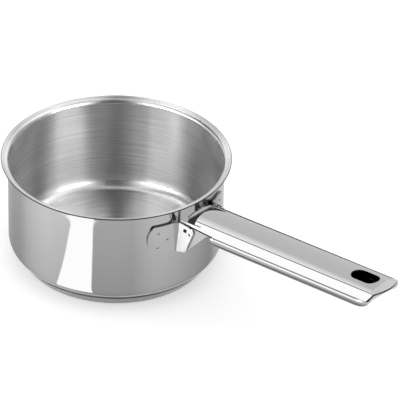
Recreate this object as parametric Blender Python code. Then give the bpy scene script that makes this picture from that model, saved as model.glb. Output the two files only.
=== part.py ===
"""A stainless steel milk pan with a pouring rim, a capsule base and a pressed hollow handle.

Metres, +Z up. The origin is on the pan's axis, on the flat underside of the base.
The handle points along +X and rises towards its tip.
"""

import math

import bmesh
import bpy
from mathutils import Matrix, Vector

# Clearance that welded or pressed faces keep between their solids, and the overrun of every cut
seat_gap = 0.0003
cut_overrun = 0.001
merge_distance = 0.00001

# Pan body, drawn from one sheet
pan_outer_radius = 0.0708
pan_wall = 0.0008
pan_height = 0.0748
pan_corner_radius = 0.0117
rim_bend_radius = 0.0026
rim_lip_length = 0.0026
rim_turn = math.radians(72)

# Capsule base under the pan. Its side flares up to a thin rim on the pan's rounded corner
base_cap_wall = 0.0006
base_cap_flare = 0.0052
base_cap_edge_radius = 0.0020
base_cap_grip = math.radians(38)
core_thickness = 0.0040
core_edge_radius = 0.0006

# Handle line: the plane through the two long edges of the handle's top face
handle_slope = math.radians(7.03)
handle_rise_over_rim = -0.0164
handle_root_reach = 0.0125
handle_tip_reach = 0.1641

# Handle top shell, one pressed sheet
shell_wall = 0.0010
top_face_width = 0.0228
top_face_crown = 0.0020
bevel_out = 0.0035
bevel_down = 0.0046
lip_down = 0.0004
top_edge_radius = 0.0012
bevel_edge_radius = 0.0014
root_arch = 0.0017
root_shoulder = 0.0012
root_relief_length = 0.0053
root_relief_width = 0.0005
tip_radius = 0.0190
tip_droop_length = 0.0060
tip_droop_radius = 0.0140

# Gusset cheeks of the top shell, which the bracket's ears hold
cheek_foot_length = 0.0023
cheek_foot_rise = 0.0030
cheek_run = 0.0176
cheek_blend_radius = 0.0045
cheek_nose_reach = 0.0036
cheek_nose_depth = 0.0020

# Handle bottom shell, a trough with rounded sides
trough_wall = 0.0009
trough_side_radius = 0.0030
trough_overhang = 0.00055
trough_depth = 0.0048
trough_start_reach = 0.0292
trough_front_length = 0.0050
trough_nose_length = 0.0105
trough_nose_inset = 0.0040
trough_tip_inset = 0.0058
trough_side_start = math.radians(50)

# Hanging slot through both shells
slot_length = 0.0202
slot_width = 0.0111
slot_to_tip = 0.0197

# Handle bracket, one pressed sheet on the pan's wall
bracket_wall = 0.0012
bracket_height = 0.0214
bracket_drop = 0.0110
wing_reach = 0.0156
wing_bulge = 0.0040
wing_foot_rise = 0.0018
ear_bend_radius_foot = 0.0015
ear_bend_radius_head = 0.0060
ear_length_foot = 0.0069
ear_length_head = 0.0100
ear_corner_radius = 0.0040
ear_head_rise = 0.0016
ear_foot_rise = 0.0026
web_stand_off = 0.0036
web_height = 0.0176
web_shoulder_height = 0.0080
web_head_width = 0.0208
web_arch = 0.0016

# Spot welds, as shares of a wing's or an ear's length and of the bracket's height
weld_radius = 0.0010
weld_depth = 0.00025
wing_weld_shares = [(0.63, 0.77), (0.31, 0.50), (0.65, 0.27)]
ear_weld_shares = [(0.44, 0.885), (0.80, 0.82)]

# Finishes
polished_colour = (0.62, 0.62, 0.63)
polished_roughness = 0.08
brushed_colour = (0.60, 0.60, 0.60)
brushed_roughness = 0.28
aluminium_colour = (0.80, 0.80, 0.82)
aluminium_roughness = 0.45

# Facets
turn_steps = 88
corner_steps = 6
rim_steps = 5
edge_steps = 2
crown_steps = 8
bend_steps = 5
bracket_rows = 8

# Worked-out sizes
pan_underside = base_cap_wall + core_thickness + seat_gap + seat_gap
handle_height = pan_height + handle_rise_over_rim
top_half = top_face_width / 2
bevel_half = top_half + bevel_out
seam_level = -bevel_down - lip_down
root_x = pan_outer_radius + handle_root_reach
tip_x = pan_outer_radius + handle_tip_reach
bracket_inner_radius = pan_outer_radius + seat_gap
bracket_outer_radius = bracket_inner_radius + bracket_wall
bracket_foot = pan_height - bracket_drop - bracket_height
ear_inner = bevel_half + seat_gap
ear_outer = ear_inner + bracket_wall
web_x = bracket_outer_radius + web_stand_off
cheek_front_x = web_x + seat_gap + seat_gap
cheek_nose_x = cheek_front_x - cheek_nose_reach
cheek_foot = bracket_foot + cheek_foot_rise
cheek_depth = handle_height + root_x * math.tan(handle_slope) - cheek_foot + cut_overrun


def polar(radius, angle):
    return Vector((radius * math.cos(angle), radius * math.sin(angle)))


def arc(centre, radius, start, end, steps):
    """Points on an arc in a plane, both ends included."""
    turn = (end - start) / steps
    return [Vector(centre) + polar(radius, start + turn * i) for i in range(steps + 1)]


def rounded(points, radii, steps):
    """An open outline in a plane with each inner corner rounded to its radius, where that isn't zero."""
    result = [Vector(points[0])]
    for before, corner, after, radius in zip(points, points[1:], points[2:], radii):
        corner = Vector(corner)
        inward = (Vector(before) - corner).normalized()
        outward = (Vector(after) - corner).normalized()
        half = inward.angle(outward) / 2
        if not radius:
            result.append(corner)
            continue
        centre = corner + (inward + outward).normalized() * (radius / math.sin(half))
        first = corner + inward * (radius / math.tan(half)) - centre
        last = corner + outward * (radius / math.tan(half)) - centre
        turn = first.angle_signed(last)
        start = math.atan2(first.y, first.x)
        result += arc(centre, radius, start, start - turn, steps)
    return result + [Vector(points[-1])]


def handle_point(along, across, up):
    """A point of the handle's own frame: straight, then drooping along an arc near the tip."""
    droop = max(0.0, along - droop_start) / tip_droop_radius
    straight = min(along, droop_start)
    forward = straight + math.sin(droop) * (tip_droop_radius + up)
    height = up * math.cos(droop) - tip_droop_radius * (1 - math.cos(droop))
    return Vector((forward, across, height))


def handle_matrix():
    """Places the handle's own frame on the pan."""
    return Matrix.Translation((0, 0, handle_height)) @ Matrix.Rotation(-handle_slope, 4, "Y")


def along_of(x, up):
    """How far along the handle's own frame a point lies whose distance from the pan's axis is known."""
    return (x + up * math.sin(handle_slope)) / math.cos(handle_slope)


root_along = along_of(root_x, 0)
tip_along = along_of(tip_x, 0)
droop_start = tip_along - tip_droop_length


def metal(name, colour, roughness):
    material = bpy.data.materials.new(name)
    material.use_nodes = True
    shader = material.node_tree.nodes["Principled BSDF"]
    shader.inputs["Base Color"].default_value = (*colour, 1)
    shader.inputs["Roughness"].default_value = roughness
    shader.inputs["Metallic"].default_value = 1
    return material


def add_object(name, points, faces, material=None):
    mesh = bpy.data.meshes.new(name)
    mesh.from_pydata([tuple(point) for point in points], [], faces)
    mesh.validate()
    part = bpy.data.objects.new(name, mesh)
    bpy.context.scene.collection.objects.link(part)
    if material:
        mesh.materials.append(material)
        mesh.shade_smooth()
    return part


def make_helper(part):
    """Marks a cutter or a guide, which isn't a piece of the pan."""
    part.hide_render = True
    part.display_type = "WIRE"
    return part


def combine(part, other, operation):
    modifier = part.modifiers.new(operation.title() + " " + other.name, "BOOLEAN")
    modifier.operation = operation
    modifier.solver = "EXACT"
    modifier.object = other


def turned(name, profile, material):
    """A turned piece from its profile of (radius, height) points, which starts and ends on the axis."""
    edges = [(i, i + 1) for i in range(len(profile) - 1)]
    mesh = bpy.data.meshes.new(name)
    mesh.from_pydata([(point[0], 0, point[1]) for point in profile], edges, [])
    mesh.materials.append(material)
    part = bpy.data.objects.new(name, mesh)
    bpy.context.scene.collection.objects.link(part)
    screw = part.modifiers.new("Turn", "SCREW")
    screw.axis = "Z"
    screw.steps = turn_steps
    screw.render_steps = turn_steps
    screw.use_merge_vertices = True
    screw.merge_threshold = merge_distance
    screw.use_smooth_shade = True
    return part


def prism(name, outline, place, low, high, material=None):
    """A closed outline, swept between two levels. place turns (a, b, level) into a point."""
    count = len(outline)
    points = [place(a, b, level) for level in (low, high) for a, b in outline]
    faces = [tuple(range(count)), tuple(range(2 * count - 1, count - 1, -1))]
    for i in range(count):
        after = (i + 1) % count
        faces.append((after, i, i + count, after + count))
    return outward(add_object(name, points, faces, material))


def outward(part):
    """Turns every face of a closed mesh outwards."""
    work = bmesh.new()
    work.from_mesh(part.data)
    bmesh.ops.recalc_face_normals(work, faces=work.faces)
    if work.calc_volume(signed=True) < 0:
        bmesh.ops.reverse_faces(work, faces=work.faces)
    work.to_mesh(part.data)
    work.free()
    return part


def sheet(name, rows, thickness, material=None):
    """A pressed sheet from rows of points on its outer face. It gets its thickness on the inner side."""
    width = len(rows[0])
    points = [point for row in rows for point in row]
    faces = []
    for i in range(len(rows) - 1):
        for j in range(width - 1):
            corner = i * width + j
            faces.append((corner, corner + 1, corner + width + 1, corner + width))
    part = add_object(name, points, faces, material)
    solidify = part.modifiers.new("Sheet", "SOLIDIFY")
    solidify.thickness = thickness
    solidify.offset = -1
    solidify.use_even_offset = True
    return part


def make_pan_body(material):
    floor_corner = pan_outer_radius - pan_corner_radius
    corner_level = pan_underside + pan_corner_radius
    bend_centre_radius = pan_outer_radius + rim_bend_radius
    lip_drop = rim_lip_length * math.cos(rim_turn) + rim_bend_radius * math.sin(rim_turn)
    edge_radius = pan_wall / 2
    bend_level = pan_height - lip_drop - edge_radius - edge_radius * math.sin(rim_turn)
    bend_centre = (bend_centre_radius, bend_level)
    lip_run = Vector((math.sin(rim_turn), math.cos(rim_turn))) * rim_lip_length
    bend_start = math.pi
    bend_end = math.pi - rim_turn
    inner_bend = arc(bend_centre, rim_bend_radius + pan_wall, bend_start, bend_end, rim_steps)
    outer_bend = arc(bend_centre, rim_bend_radius, bend_end, bend_start, rim_steps)
    edge_centre = (inner_bend[-1] + outer_bend[0]) / 2 + lip_run
    edge = arc(edge_centre, edge_radius, bend_end, bend_end - math.pi, edge_steps + 2)
    corner = (floor_corner, corner_level)
    inside = arc(corner, pan_corner_radius - pan_wall, -math.pi / 2, 0, corner_steps)
    outside = arc(corner, pan_corner_radius, 0, -math.pi / 2, corner_steps)
    profile = [(0, pan_underside + pan_wall)] + inside + inner_bend + edge + outer_bend
    profile += outside + [(0, pan_underside)]
    return turned("pan_body", profile, material)


def cap_seat():
    """Centre and radius of the arc on which the cap's rim lies against the pan's rounded corner."""
    centre = (pan_outer_radius - pan_corner_radius, pan_underside + pan_corner_radius)
    return Vector(centre), pan_corner_radius + seat_gap


def cap_rim():
    """The cap's outermost point, as (radius, height)."""
    centre, reach = cap_seat()
    return centre + polar(reach, base_cap_grip - math.pi / 2)


def cap_side(level, inset):
    """Radius of the cap's flared side at a height, so far inside its outer face."""
    rim = cap_rim()
    slant = math.hypot(base_cap_flare, rim.y)
    return rim.x - base_cap_flare + (level * base_cap_flare - inset * slant) / rim.y


def make_base_core(material):
    low = base_cap_wall + seat_gap
    high = low + core_thickness
    outline = [(0, high), (cap_side(high, low), high), (cap_side(low, low), low), (0, low)]
    profile = rounded(outline, [core_edge_radius, base_cap_edge_radius - low], bend_steps)
    return turned("base_core_disc", profile, material)


def make_base_cap(material):
    """A pressed cap whose side runs out into a thin rim where its inner face meets the pan's corner."""
    rim = cap_rim()
    centre, reach = cap_seat()
    side = Vector((base_cap_flare, rim.y)).normalized()
    facing = Vector((side.y, -side.x))
    inner_offset = (rim - centre).dot(facing) - base_cap_wall
    inner_rim = centre + facing * inner_offset - side * math.sqrt(reach**2 - inner_offset**2)
    inner_foot = cap_side(base_cap_wall, base_cap_wall)
    inside = [(0, base_cap_wall), (inner_foot, base_cap_wall), inner_rim]
    outside = [rim, (cap_side(0, 0), 0), (0, 0)]
    profile = rounded(inside, [base_cap_edge_radius - base_cap_wall], bend_steps)
    profile += rounded(outside, [base_cap_edge_radius], bend_steps)
    return turned("base_cap", profile, material)


def crown_points():
    """The crowned top face between its two long edges, from -Y to +Y."""
    places = [-top_half + top_face_width * i / crown_steps for i in range(crown_steps + 1)]
    return [(across, crown_at(across)) for across in places]


def crown_at(across):
    return top_face_crown * (1 - (across / top_half) ** 2)


def top_section(depth):
    """The outer face of the handle's top sheet, from the +Y cheek over the crown to the -Y cheek."""
    foot = -depth
    near = [(-bevel_half, foot), (-bevel_half, -bevel_down)]
    far = [(bevel_half, -bevel_down), (bevel_half, foot)]
    crown = crown_points()
    radii = [bevel_edge_radius, top_edge_radius]
    radii += [0] * (len(crown) - 2)
    radii += [top_edge_radius, bevel_edge_radius]
    return rounded(near + crown + far, radii, edge_steps)[::-1]


def tip_outline(side):
    """Half of the tip in plan, from its middle to where the side starts. side is 1 or -1."""
    end = math.asin((bevel_half + cut_overrun) / tip_radius)
    points = arc((tip_along - tip_radius, 0), tip_radius, 0, end, corner_steps)
    return [(along, side * across) for along, across in points]


def root_notch(side):
    """Half of the cut that arches the top face's root end and frees the cheeks. side is 1 or -1."""
    half = root_relief_width / 2
    slit_across = top_half + root_shoulder + half
    slit_end = (root_along + root_relief_length - half, slit_across)
    points = []
    for i in range(crown_steps // 2 + 1):
        across = top_face_width * i / crown_steps
        points.append((root_along - root_arch * (1 - (across / top_half) ** 2), across))
    points.append((root_along, slit_across - half))
    points += arc(slit_end, half, -math.pi / 2, math.pi / 2, edge_steps)
    points.append((0, slit_across + half))
    return [(along, side * across) for along, across in points]


def make_top_shell(material):
    front = along_of(cheek_nose_x, 0) - cheek_depth * math.tan(handle_slope) - cut_overrun
    cheek_end = along_of(cheek_front_x + cheek_foot_length + cheek_run + cheek_blend_radius, 0)
    shallow = cut_overrun - seam_level
    places = [(front, cheek_depth), (cheek_end, cheek_depth), (cheek_end + cheek_blend_radius, shallow)]
    for i in range(bend_steps + 1):
        places.append((droop_start + tip_droop_length * i / bend_steps, shallow))
    places.append((tip_along + cut_overrun, shallow))
    rows = []
    for along, depth in places:
        rows.append([handle_point(along, a, b) for a, b in top_section(depth)])
    shell = sheet("handle_top_shell", rows, shell_wall, material)
    shell.matrix_world = handle_matrix()
    combine(shell, plan_trim(), "INTERSECT")
    combine(shell, side_trim(), "INTERSECT")
    combine(shell, slot_cutter("Slot in top shell"), "DIFFERENCE")
    return shell


def plan_trim():
    """Keeps the sheet inside the handle's outline as seen from above."""
    reach = bevel_half + cut_overrun
    outline = tip_outline(1) + [(0, reach)] + root_notch(1)[::-1]
    other = tip_outline(-1) + [(0, -reach)] + root_notch(-1)[::-1]
    outline += other[::-1][1:-1]
    depth = cheek_depth + tip_droop_radius
    trim = prism("Handle outline in plan", outline, lambda a, b, c: (a, b, c), -depth, depth)
    trim.matrix_world = handle_matrix()
    return make_helper(trim)


def side_trim():
    """Keeps the sheet inside the cheeks' outline as seen from the side."""
    slope = math.tan(handle_slope)
    seam_height = handle_height + seam_level / math.cos(handle_slope)
    heel_x = cheek_front_x + cheek_foot_length
    blend_x = heel_x + cheek_run
    far_x = tip_x + pan_outer_radius
    lower = [(cheek_front_x, cheek_foot), (heel_x, cheek_foot), (blend_x, seam_height + blend_x * slope)]
    lower += [(far_x, seam_height + far_x * slope)]
    outline = rounded(lower, [0, cheek_blend_radius], corner_steps)
    roof = handle_height + far_x * slope + top_face_width
    nose_foot = handle_height - bevel_down - cheek_nose_depth + cheek_nose_x * slope
    outline += [(far_x, roof), (cheek_nose_x, roof), (cheek_nose_x, nose_foot), (cheek_front_x, nose_foot)]
    reach = bevel_half + cut_overrun
    trim = prism("Handle outline in side view", outline, lambda a, b, c: (a, c, b), -reach, reach)
    return make_helper(trim)


def slot_cutter(name):
    """A long round-ended hole, square to the handle's top face."""
    middle = tip_along - slot_to_tip
    radius = slot_width / 2
    straight = slot_length / 2 - radius
    outline = arc((middle + straight, 0), radius, -math.pi / 2, math.pi / 2, corner_steps)
    outline += arc((middle - straight, 0), radius, math.pi / 2, math.pi * 1.5, corner_steps)
    depth = trough_depth + bevel_down + top_face_width
    cutter = prism(name, outline, lambda a, b, c: (a, b, c), -depth, depth)
    cutter.matrix_world = handle_matrix()
    return make_helper(cutter)


def trough_section(width_share, side_start):
    """Points (across, depth share) of the trough's outer face, from the -Y seam round to the +Y seam."""
    start = math.sin(side_start)
    flat = (bevel_half + trough_overhang - trough_side_radius) * width_share
    turn = (side_start + math.pi / 2) / (corner_steps + 1)
    side = []
    for i in range(corner_steps + 2):
        angle = side_start - turn * i
        share = (start - math.sin(angle)) / (start + 1)
        side.append((flat + trough_side_radius * math.cos(angle), share))
    near = [(-across, share) for across, share in side]
    return near + [(0, 1)] + side[::-1]


def make_bottom_shell(material):
    """A trough: its front end and its nose turn up to the seam under the top shell."""
    start = along_of(pan_outer_radius + trough_start_reach, seam_level)
    nose_end = tip_along - trough_tip_inset
    rows = []
    for i in range(corner_steps):
        angle = math.pi / 2 * i / corner_steps
        along = start + trough_front_length * (1 - math.cos(angle))
        rows.append(trough_row(along, math.sin(angle), 0))
    rows.append(trough_row(start + trough_front_length, 1, 0))
    for i in range(corner_steps + 2):
        angle = math.pi / 2 * i / (corner_steps + 1)
        along = nose_end - trough_nose_length * (1 - math.sin(angle))
        rows.append(trough_row(along, math.cos(angle), 1 - math.cos(angle)))
    shell = sheet("handle_bottom_shell", rows, trough_wall, material)
    shell.matrix_world = handle_matrix()
    combine(shell, slot_cutter("Slot in bottom shell"), "DIFFERENCE")
    return shell


def trough_row(along, depth_share, nose_share):
    """One cross-section. nose_share grows from 0 to 1 as the nose closes under the top shell."""
    narrowing = 1 - nose_share * trough_nose_inset / bevel_half
    side_start = trough_side_start * (1 - nose_share) * depth_share
    row = []
    for across, share in trough_section(narrowing, side_start):
        roof = min(0.0, (top_half - abs(across)) * bevel_down / bevel_out) + max(0.0, crown_at(across))
        under_roof = roof - (shell_wall + seat_gap) * math.hypot(bevel_down, bevel_out) / bevel_out
        seam = seam_level - seat_gap
        level = seam + (min(under_roof, 0) - seam) * nose_share
        row.append(handle_point(along, across, level - trough_depth * share * depth_share))
    return row


def ear_fold(share):
    """Centre of the bend between wing and ear, and its radius, at a share of the bracket's height."""
    radius = ear_bend_radius_foot + (ear_bend_radius_head - ear_bend_radius_foot) * share
    across = ear_outer + radius
    out = math.sqrt((bracket_outer_radius + radius) ** 2 - across**2)
    return out, across, radius


def ear_columns():
    """Where the ear's points lie, as shares of its length, and how far its rounded head has dropped there."""
    straight = 1 - ear_corner_radius / ear_length_head
    columns = [(straight / 2, 0), (straight, 0)]
    for i in range(1, bend_steps):
        angle = math.pi / 2 * i / (bend_steps - 1)
        share = straight + (1 - straight) * math.sin(angle)
        columns.append((share, ear_corner_radius * (1 - math.cos(angle))))
    return columns


def bracket_row(share):
    """The bracket's outer face at one share of its height, from the wing's end to the ear's free edge."""
    out, across, radius = ear_fold(share)
    fold = math.atan2(across, out)
    wing_start = math.asin(ear_outer / bracket_outer_radius)
    bulge = wing_bulge * (1 - (2 * share - 1) ** 2)
    wing_end = wing_start + (wing_reach + bulge) / bracket_outer_radius
    head = bracket_foot + bracket_height
    row = []
    for i in range(corner_steps + 1):
        angle = wing_end + (fold - wing_end) * i / corner_steps
        foot = bracket_foot + wing_foot_rise * (1 - i / corner_steps)
        row.append((polar(bracket_outer_radius, angle), foot, head))
    bend = arc((out, across), radius, fold + math.pi, math.pi * 1.5, bend_steps)
    for i in range(1, bend_steps + 1):
        row.append((bend[i], bracket_foot, head + ear_head_rise * i / bend_steps))
    length = ear_length_foot + (ear_length_head - ear_length_foot) * share
    for length_share, drop in ear_columns():
        point = Vector((out + length * length_share, ear_outer))
        foot = bracket_foot + ear_foot_rise * length_share
        row.append((point, foot, head + ear_head_rise - drop))
    return [(point.x, point.y, foot + (top - foot) * share) for point, foot, top in row]


def make_lug(name, side):
    """A wing with its ear, on the side of the handle that side gives: 1 for +Y, -1 for -Y."""
    rows = []
    for i in range(bracket_rows + 1):
        row = [Vector((x, side * y, z)) for x, y, z in bracket_row(i / bracket_rows)]
        rows.append(row if side < 0 else row[::-1])
    return make_helper(sheet(name, rows, bracket_wall))


def make_bracket(material):
    """Wings and ears as bent sheets, joined by the web that spans the handle's root."""
    foot = bracket_foot + bracket_height - web_height
    shoulder = foot + web_shoulder_height
    head_half = web_head_width / 2
    end = ear_inner + bracket_wall / 2
    crest = handle_height + web_x * math.tan(handle_slope) + top_face_crown
    crest -= shell_wall + web_arch
    arch = []
    for i in range(crown_steps + 1):
        across = head_half - web_head_width * i / crown_steps
        arch.append((across, crest + web_arch * (1 - (across / head_half) ** 2)))
    step = head_half + web_arch
    outline = [(-end, foot), (end, foot), (end, shoulder), (step, shoulder)] + arch
    outline += [(-step, shoulder), (-end, shoulder)]
    low = web_x - bracket_wall
    web = prism("handle_bracket", outline, lambda a, b, c: (c, a, b), low, web_x, material)
    combine(web, make_lug("Near lug", -1), "UNION")
    combine(web, make_lug("Far lug", 1), "UNION")
    combine(web, weld_marks(), "DIFFERENCE")
    return web


def weld_marks():
    """Shallow round marks of the spot welds, on both wings and both ears."""
    discs = []
    for side in (-1, 1):
        for reach_share, height_share in wing_weld_shares:
            start = math.asin(ear_outer / bracket_outer_radius)
            angle = start + (wing_reach + wing_bulge) * reach_share / bracket_outer_radius
            level = bracket_foot + bracket_height * height_share
            direction = Vector((math.cos(angle), side * math.sin(angle), 0))
            discs.append((direction * bracket_outer_radius + Vector((0, 0, level)), direction))
        for length_share, height_share in ear_weld_shares:
            out = ear_fold(height_share)[0]
            level = bracket_foot + bracket_height * height_share
            place = Vector((out + ear_length_head * length_share, side * ear_outer, level))
            discs.append((place, Vector((0, side, 0))))
    points = []
    faces = []
    for place, direction in discs:
        turn = direction.to_track_quat("Z", "Y").to_matrix()
        first = len(points)
        sides = corner_steps * 2
        for level in (-weld_depth, cut_overrun):
            for i in range(sides):
                corner = polar(weld_radius, math.tau * i / sides)
                points.append(place + turn @ Vector((corner.x, corner.y, level)))
        faces.append(tuple(range(first + sides - 1, first - 1, -1)))
        faces.append(tuple(range(first + sides, first + 2 * sides)))
        for i in range(sides):
            after = (i + 1) % sides
            quad = (i, after, after + sides, i + sides)
            faces.append(tuple(first + corner for corner in quad))
    return outward(make_helper(add_object("Weld marks", points, faces)))


def main():
    for part in list(bpy.data.objects):
        bpy.data.objects.remove(part)
    polished = metal("Polished stainless steel", polished_colour, polished_roughness)
    brushed = metal("Brushed stainless steel", brushed_colour, brushed_roughness)
    aluminium = metal("Aluminium core", aluminium_colour, aluminium_roughness)
    make_pan_body(brushed)
    make_base_core(aluminium)
    make_base_cap(polished)
    make_bracket(polished)
    make_top_shell(polished)
    make_bottom_shell(polished)


main()
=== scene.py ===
"""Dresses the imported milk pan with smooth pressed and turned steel, in a plain studio.

Laid out as a Blender add-on and run as a script. Lengths are in metres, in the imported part's frame:
+Z up along the pan's axis, +X along the handle, the origin under the middle of the base.
"""
import math

import bmesh
import bpy
from bpy.props import FloatProperty, FloatVectorProperty, IntProperty, PointerProperty
from mathutils import Matrix, Vector


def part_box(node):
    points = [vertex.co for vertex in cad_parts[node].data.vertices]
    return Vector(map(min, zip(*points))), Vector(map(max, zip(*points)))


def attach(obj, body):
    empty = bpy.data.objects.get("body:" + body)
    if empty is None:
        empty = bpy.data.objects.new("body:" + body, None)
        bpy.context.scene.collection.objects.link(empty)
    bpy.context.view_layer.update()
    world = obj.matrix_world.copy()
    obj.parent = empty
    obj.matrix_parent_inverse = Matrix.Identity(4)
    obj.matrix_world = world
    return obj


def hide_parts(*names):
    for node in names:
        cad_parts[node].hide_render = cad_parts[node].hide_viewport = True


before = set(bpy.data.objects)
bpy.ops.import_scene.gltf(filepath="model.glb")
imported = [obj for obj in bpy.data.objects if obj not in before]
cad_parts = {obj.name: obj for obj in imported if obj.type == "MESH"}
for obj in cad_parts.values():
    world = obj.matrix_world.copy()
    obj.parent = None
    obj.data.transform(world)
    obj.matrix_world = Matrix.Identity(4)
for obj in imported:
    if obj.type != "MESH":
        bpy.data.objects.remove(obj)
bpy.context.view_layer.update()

bl_info = {
    "name": "Milk pan",
    "version": (1, 0, 0),
    "blender": (4, 5, 0),
    "location": "3D View > Sidebar > Milk pan",
    "description": "Models a stainless steel milk pan with a pressed handle around its packed solids",
    "category": "Add Mesh",
}

seat_gap = 0.0003
cut_overrun = 0.001
merge_distance = 0.000002
smooth_angle = math.radians(32)
shading_weight = 100

# How many steps the curves have, from the tightest to the widest
flat_steps = 4
ridge_steps = 6
edge_steps = 8
bend_steps = 10
fold_steps = 12
row_steps = 14
corner_steps = 16
round_steps = 24
arch_steps = 32
crown_steps = 36

# How much a face looks along an axis, by which the finishes of its piece are told apart
barely = 0.02
slightly = 0.1
partly = 0.3
halfway = 0.5
mostly = 0.7
nearly = 0.98


def length(name, description, default):
    return FloatProperty(
        name=name, description=description, default=default, subtype="DISTANCE", unit="LENGTH", precision=5
    )


def angle(name, description, default):
    return FloatProperty(name=name, description=description, default=math.radians(default), subtype="ANGLE")


def share(name, description, default):
    return FloatProperty(name=name, description=description, default=default, subtype="FACTOR", min=0, max=1)


def plain_number(name, description, default):
    return FloatProperty(name=name, description=description, default=default)


def colour(name, description, default):
    return FloatVectorProperty(name=name, description=description, default=default, subtype="COLOR", size=3)


# Sizes and looks that a user would change


class PanSizes(bpy.types.PropertyGroup):
    """The deep-drawn body."""

    outer_radius: length("Outer radius", "Radius of the body's outer wall", 0.0708)
    wall: length("Sheet thickness", "Thickness of the body's sheet", 0.0008)
    height: length("Height", "Height of the rim above the table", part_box("pan_body")[1].z)
    corner_radius: length("Corner radius", "Outer radius between floor and wall", 0.0117)
    rim_bend_radius: length("Rim bend", "Radius of the bend under the pouring lip", 0.0026)
    rim_lip_length: length("Lip length", "Straight part of the lip past its bend", 0.00258)
    rim_turn: angle("Lip turn", "How far the lip is turned outwards", 72)
    turn_steps: IntProperty(name="Turn steps", description="Facets round the turned pieces", default=192)


class BaseSizes(bpy.types.PropertyGroup):
    """The cap under the body and the disc inside it."""

    cap_wall: length("Cap sheet", "Thickness of the cap's sheet", 0.0006)
    cap_flare: length("Cap flare", "How much wider the cap's rim is than its foot", 0.0052)
    cap_edge_radius: length("Foot radius", "Radius of the cap's foot", 0.0020)
    cap_grip: angle("Grip", "Where the cap's rim lies on the body's corner, from straight down", 38)
    groove_shade: length("Groove shade", "Height of the dark ring above the cap's rim", 0.0029)
    core_thickness: length("Core", "Thickness of the disc inside the base", 0.0040)


class HandleSizes(bpy.types.PropertyGroup):
    """The pressed top sheet of the handle and the trough under it."""

    slope: angle("Slope", "How steeply the handle rises", 7.03)
    level: length("Height at the axis", "Where the handle's top plane crosses the pan's axis", 0.0584)
    root_x: length("Root", "Where the top face starts, from the pan's axis", 0.0833)
    tip_x: length("Tip", "Where the top plane ends, from the pan's axis", 0.2349)
    sheet: length("Sheet thickness", "Thickness of the top sheet", 0.0010)
    top_width: length("Top width", "Width of the top face", 0.0228)
    crown: length("Crown", "How much the top face is arched across", 0.00199)
    bevel_out: length("Bevel width", "How far each sloping side reaches out", 0.0035)
    bevel_down: length("Bevel height", "How far each sloping side falls", 0.0046)
    lip_down: length("Lip", "Upright edge under each sloping side", 0.0004)
    top_edge_radius: length("Top edge radius", "Radius of the two long edges of the top face", 0.0011)
    bevel_edge_radius: length("Side edge radius", "Radius at the foot of the sloping sides", 0.0014)
    root_arch: length("Root arch", "How far the root's end is arched towards the pan", 0.0017)
    root_shoulder: length("Root shoulder", "Flat part of the root's end past the top face", 0.0012)
    relief_length: length("Relief length", "Length of the slits beside the root", 0.0053)
    relief_width: length("Relief width", "Width of the slits beside the root", 0.0005)
    tip_radius: length("Tip radius", "Radius of the tip's end in plan", 0.0190)
    droop_length: length("Droop length", "How much of the tip is bent down", 0.0060)
    droop_radius: length("Droop radius", "Radius of the bent tip", 0.0140)
    cheek_foot_length: length("Cheek foot", "Length of the flat foot of each cheek", 0.0023)
    cheek_foot_rise: length("Cheek foot rise", "Height of the cheeks' foot above the bracket's", 0.0030)
    cheek_run: length("Cheek run", "Length over which the cheeks rise to the handle's side", 0.0176)
    cheek_blend: length("Cheek blend", "Radius where a cheek runs into the handle's side", 0.0045)
    cheek_nose_reach: length("Cheek nose", "How far the top of each cheek passes the web", 0.0036)
    cheek_nose_depth: length("Cheek nose depth", "Depth of that part under the sloping side", 0.0020)
    crease_inset: length("Crease inset", "How much narrower the sloping sides are at the root", 0.00095)
    slot_length: length("Slot length", "Length of the hanging slot", 0.0202)
    slot_width: length("Slot width", "Width of the hanging slot", 0.0111)
    slot_to_tip: length("Slot to tip", "From the slot's middle to the tip", 0.0197)
    trough_sheet: length("Trough sheet", "Thickness of the trough's sheet", 0.0009)
    trough_side_radius: length("Trough side radius", "Radius of the trough's rounded sides", 0.0030)
    trough_overhang: length("Trough overhang", "How far the trough stands out past the top sheet", 0.00055)
    trough_depth: length("Trough depth", "Depth of the trough under the seam", 0.0048)
    trough_start: length("Trough start", "Where the trough starts, from the pan's axis", 0.1000)
    trough_front: length("Trough front", "Length of the trough's rounded front", 0.0050)
    trough_nose: length("Trough nose", "Length of the trough's rising nose", 0.0105)
    trough_nose_inset: length("Trough nose inset", "How much the nose narrows on each side", 0.0040)
    trough_tip_inset: length("Trough tip inset", "How far the nose ends short of the tip", 0.0058)
    # Painted shade: the trough's lower half is painted darker, as the shade under the handle would show in it
    trough_painted_shade: share("Trough painted shade", "Share of the trough's tone that is left on its lower half", 0.35)
    trough_side_start: angle("Trough side start", "Where the rounded sides start, above level", 50)


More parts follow.
